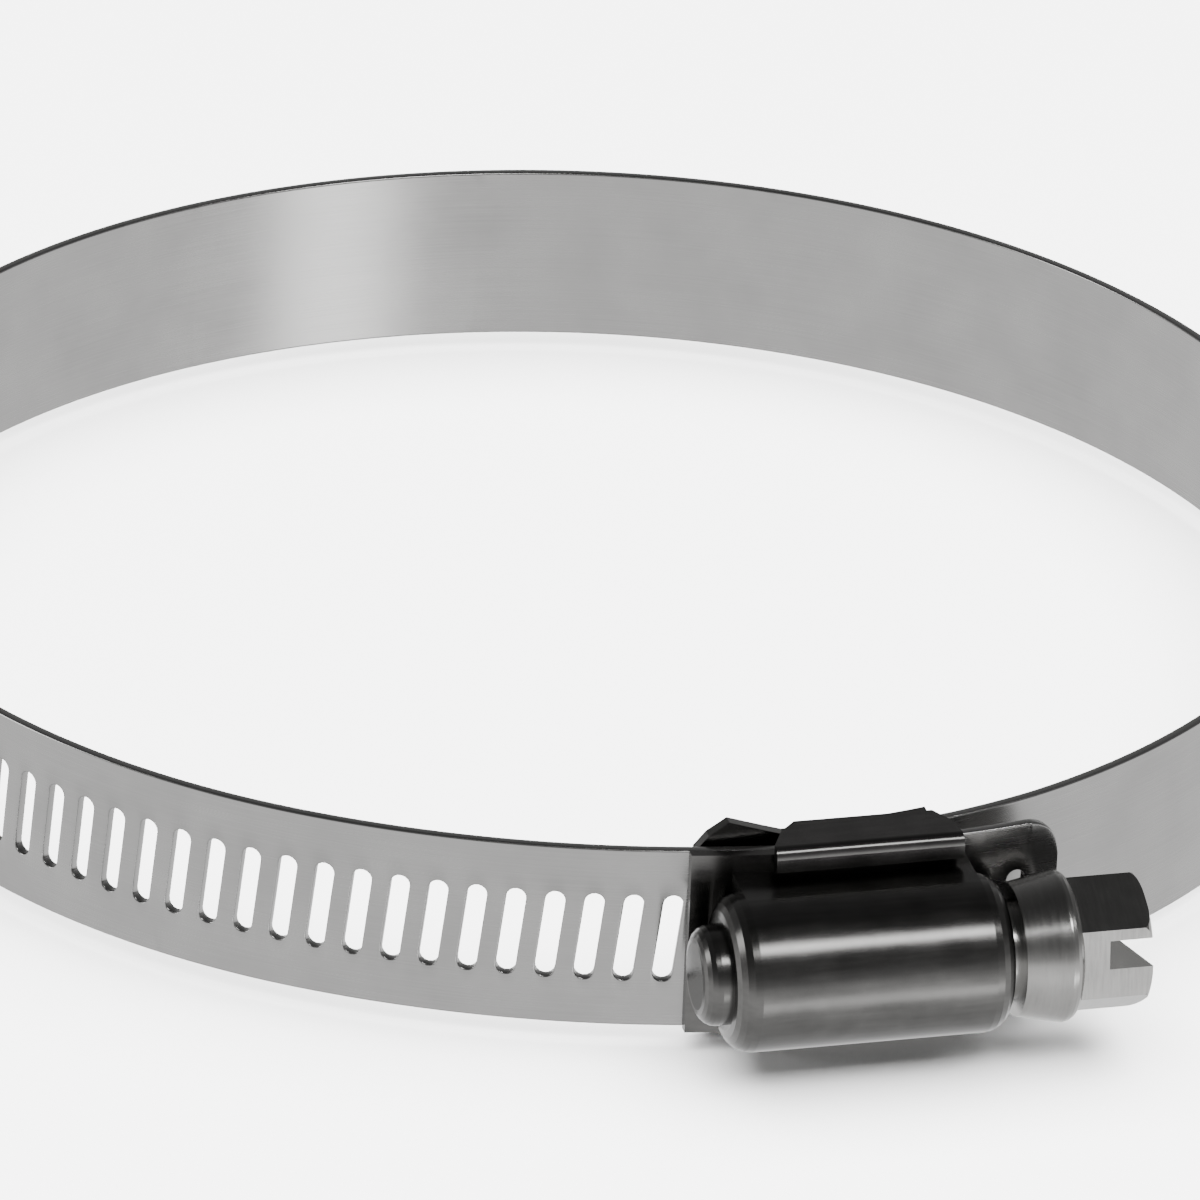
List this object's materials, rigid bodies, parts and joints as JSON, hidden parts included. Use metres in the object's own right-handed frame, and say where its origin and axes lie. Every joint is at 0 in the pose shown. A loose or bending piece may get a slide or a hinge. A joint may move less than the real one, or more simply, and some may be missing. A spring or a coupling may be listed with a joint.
{
  "type": "hose clamp",
  "caption": "Worm-drive hose clamp: a perforated steel band closed into a ring by a screw with a slotted hexagon head in a pressed housing.",
  "frame": {"origin": "centre of the clamped hose, at the middle of the band's width", "axes": "+Z along the hose's axis, +X parallel to the screw towards its head, housing on the -Y side"},
  "size_m": [0.1034, 0.1143, 0.0154],
  "materials": {
    "band_steel": "satin rolled stainless strip",
    "housing_steel": "bright pressed stainless sheet",
    "screw_steel": "bright turned steel"
  },
  "bodies": {
    "root": {"housing": "housing_steel", "saddle": "housing_steel", "band_fixed_end": "band_steel"},
    "worm_screw": {"worm_screw": "screw_steel"},
    "band_free_end": {"band_free_end": "band_steel"},
    "band_link_01": {"band_link_01": "band_steel"},
    "band_link_02": {"band_link_02": "band_steel"},
    "band_link_03": {"band_link_03": "band_steel"},
    "band_link_04": {"band_link_04": "band_steel"},
    "band_link_05": {"band_link_05": "band_steel"},
    "band_link_06": {"band_link_06": "band_steel"},
    "band_link_07": {"band_link_07": "band_steel"},
    "band_link_08": {"band_link_08": "band_steel"},
    "band_link_09": {"band_link_09": "band_steel"},
    "band_link_10": {"band_link_10": "band_steel"},
    "band_link_12": {"band_link_12": "band_steel"},
    "band_link_11": {"band_link_11": "band_steel"}
  },
  "joints": [
    {"name": "screw_spin", "type": "hinge", "parent": "root", "child": "worm_screw", "pos_m": [0.0065, -0.05751, 0], "axis": [-1, 0, 0], "range_deg": [0, 2880]},
    {"name": "band_feed", "type": "hinge", "parent": "root", "child": "band_free_end", "pos_m": [0.0065, 0.01009, 0], "axis": [0, 0, 1], "range_deg": [0, 18.36]},
    {"name": "band_flex_01", "type": "hinge", "parent": "band_free_end", "child": "band_link_01", "pos_m": [-0.02781, -0.04317, 0], "axis": [0, 0, 1], "range_deg": [-1.42, 0]},
    {"name": "band_flex_02", "type": "hinge", "parent": "band_link_01", "child": "band_link_02", "pos_m": [-0.04212, -0.02938, 0], "axis": [0, 0, 1], "range_deg": [-1.01, 0]},
    {"name": "band_flex_03", "type": "hinge", "parent": "band_link_02", "child": "band_link_03", "pos_m": [-0.05012, -0.01119, 0], "axis": [0, 0, 1], "range_deg": [-0.69, 0]},
    {"name": "band_flex_04", "type": "hinge", "parent": "band_link_03", "child": "band_link_04", "pos_m": [-0.05032, 0.01023, 0], "axis": [0, 0, 1], "range_deg": [-0.68, 0]},
    {"name": "band_flex_05", "type": "hinge", "parent": "band_link_04", "child": "band_link_05", "pos_m": [-0.04177, 0.02986, 0], "axis": [0, 0, 1], "range_deg": [-1.02, 0]},
    {"name": "band_flex_06", "type": "hinge", "parent": "band_link_05", "child": "band_link_06", "pos_m": [-0.02596, 0.04431, 0], "axis": [0, 0, 1], "range_deg": [-1.55, 0]},
    {"name": "band_flex_07", "type": "hinge", "parent": "band_link_06", "child": "band_link_07", "pos_m": [-0.00563, 0.05104, 0], "axis": [0, 0, 1], "range_deg": [-2, 0]},
    {"name": "band_flex_08", "type": "hinge", "parent": "band_link_07", "child": "band_link_08", "pos_m": [0.01568, 0.0489, 0], "axis": [0, 0, 1], "range_deg": [-2.15, 0]},
    {"name": "band_flex_09", "type": "hinge", "parent": "band_link_08", "child": "band_link_09", "pos_m": [0.03426, 0.03825, 0], "axis": [0, 0, 1], "range_deg": [-1.97, 0]},
    {"name": "band_flex_10", "type": "hinge", "parent": "band_link_09", "child": "band_link_10", "pos_m": [0.04688, 0.02095, 0], "axis": [0, 0, 1], "range_deg": [-1.63, 0]},
    {"name": "band_flex_12", "type": "hinge", "parent": "root", "child": "band_link_12", "pos_m": [0.03255, -0.04032, 0], "axis": [0, 0, 1], "range_deg": [0, 1.64]},
    {"name": "band_flex_11", "type": "hinge", "parent": "band_link_12", "child": "band_link_11", "pos_m": [0.04642, -0.02224, 0], "axis": [0, 0, 1], "range_deg": [0, 1.41]}
  ],
  "couplings": [
    {"joint": "band_feed", "follows": "screw_spin", "ratio": 0.0062808},
    {"joint": "band_flex_01", "follows": "screw_spin", "ratio": -0.000479},
    {"joint": "band_flex_02", "follows": "screw_spin", "ratio": -0.00034122},
    {"joint": "band_flex_03", "follows": "screw_spin", "ratio": -0.00022939},
    {"joint": "band_flex_04", "follows": "screw_spin", "ratio": -0.00022716},
    {"joint": "band_flex_05", "follows": "screw_spin", "ratio": -0.00034491},
    {"joint": "band_flex_06", "follows": "screw_spin", "ratio": -0.00052586},
    {"joint": "band_flex_07", "follows": "screw_spin", "ratio": -0.00067905},
    {"joint": "band_flex_08", "follows": "screw_spin", "ratio": -0.00073071},
    {"joint": "band_flex_09", "follows": "screw_spin", "ratio": -0.0006695},
    {"joint": "band_flex_10", "follows": "screw_spin", "ratio": -0.00055308},
    {"joint": "band_flex_12", "follows": "screw_spin", "ratio": 0.00055421},
    {"joint": "band_flex_11", "follows": "screw_spin", "ratio": 0.00047737}
  ]
}
